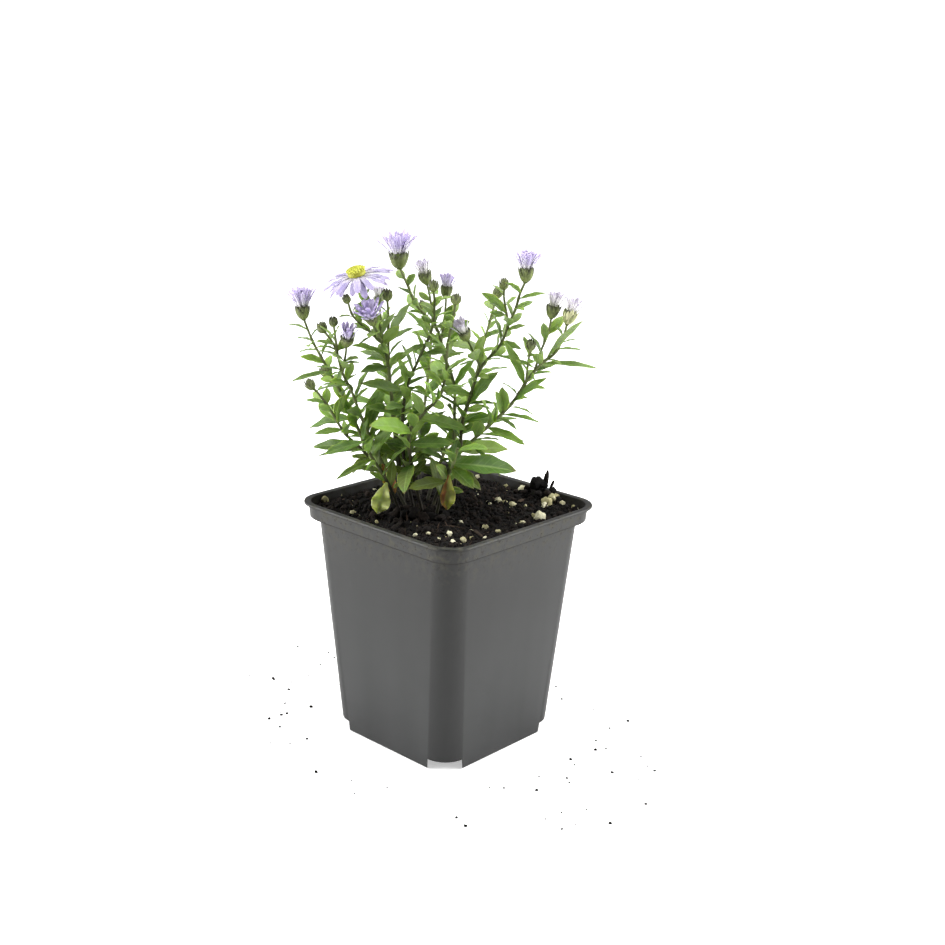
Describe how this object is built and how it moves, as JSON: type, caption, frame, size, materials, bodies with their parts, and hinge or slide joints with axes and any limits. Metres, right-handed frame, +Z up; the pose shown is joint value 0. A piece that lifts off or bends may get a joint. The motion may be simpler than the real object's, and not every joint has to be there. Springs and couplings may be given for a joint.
{
  "type": "potted aster",
  "caption": "Young aster with lilac daisy flowers and buds on thin leafy stems, growing in a square tapered nursery pot full of dark potting soil.",
  "frame": {"origin": "centre of the pot's underside, on the surface it stands on", "axes": "+Z up through the pot's mouth; X and Y run square to the pot's four sides, and the front corner of the picture lies towards +X and -Y"},
  "size_m": [0.1017, 0.0964, 0.2082],
  "materials": {
    "pot": "dull dark grey, lightly streaked and dusty",
    "soil": "coarse dark potting mix with pale grains",
    "green": "satin green leaves, stems darker and brown at the base",
    "rays_lilac": "soft lilac petals, paler at the edges",
    "rays_white": "whitish petal tips with a trace of lilac",
    "disc": "yellow florets",
    "fading_leaf": "wilting yellow-green leaf",
    "brown_leaf": "dry brown leaf"
  },
  "bodies": {
    "root": {"disc_stem_open_flower": "disc", "dry_leaf_brown": "brown_leaf", "dry_leaf_yellow_brown": "brown_leaf", "dry_leaf_yellow_green": "fading_leaf", "pot": "pot", "rays_stem_back_left_1": "rays_white", "rays_stem_left_brush_1": "rays_lilac", "rays_stem_left_inner_2": "rays_lilac", "rays_stem_open_flower_1": "rays_lilac", "rays_stem_open_flower_3": "rays_lilac", "rays_stem_right_long_1": "rays_white", "rays_stem_right_long_2": "rays_white", "rays_stem_right_tall_1": "rays_lilac", "rays_stem_right_tall_2": "rays_white", "rays_stem_tall_fan_1": "rays_lilac", "rays_stem_tall_fan_2": "rays_white", "rays_stem_tall_fan_3": "rays_lilac", "shoot_front_left": "green", "shoot_front_right": "green", "soil": "soil", "stem_back_left": "green", "stem_back_middle": "green", "stem_back_right": "green", "stem_dark_crossing": "green", "stem_front_bent": "green", "stem_left_brush": "green", "stem_left_inner": "green", "stem_left_low": "green", "stem_open_flower": "green", "stem_pale_upright": "green", "stem_right_long": "green", "stem_right_tall": "green", "stem_tall_fan": "green"}
  },
  "joints": []
}
